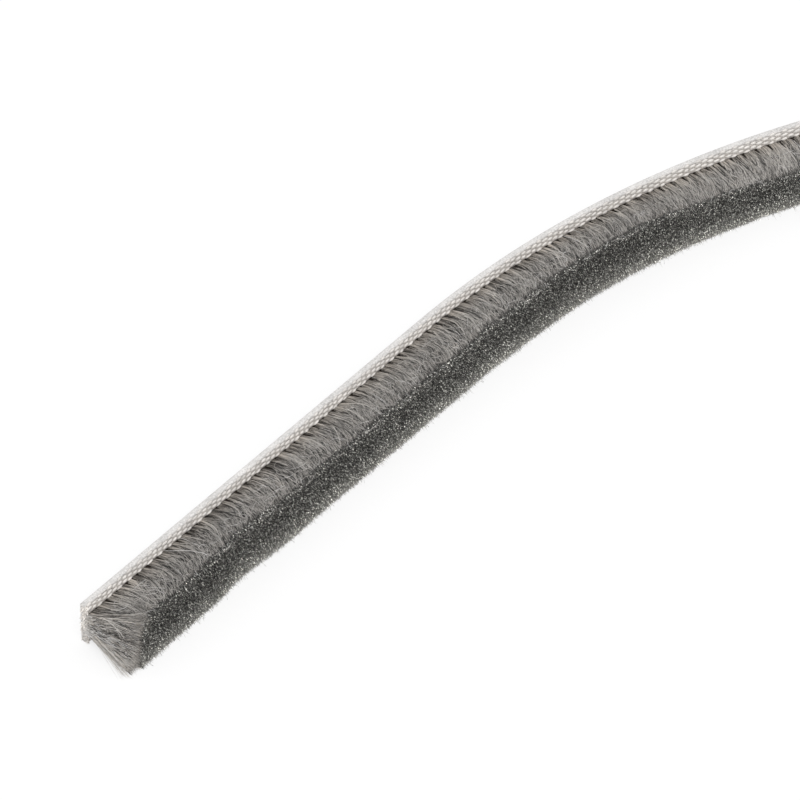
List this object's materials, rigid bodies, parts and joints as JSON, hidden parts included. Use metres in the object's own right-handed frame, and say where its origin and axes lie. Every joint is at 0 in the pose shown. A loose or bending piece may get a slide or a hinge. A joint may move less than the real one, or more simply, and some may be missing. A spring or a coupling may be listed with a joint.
{
  "type": "brush seal strip",
  "caption": "Pile weatherstrip: a narrow woven tape carrying a dense, flared band of grey fibres, cut to length and lying loosely curved on its side.",
  "frame": {"origin": "on the tape's back face, at the middle of its width, at the cut end", "axes": "+X along the straight run away from the cut end, +Y out of the tape's back face so that the pile points to -Y, +Z across the tape's width and up as the strip lies on its side"},
  "size_m": [0.2919, 0.3421, 0.0072],
  "materials": {
    "woven_tape": "off-white woven polypropylene with a smooth coated back and edges",
    "pile_fibre": "mid-grey polypropylene fibre pile, dull, darker at the tips' face"
  },
  "bodies": {
    "root": {"backing": "woven_tape", "pile": "pile_fibre"}
  },
  "joints": []
}
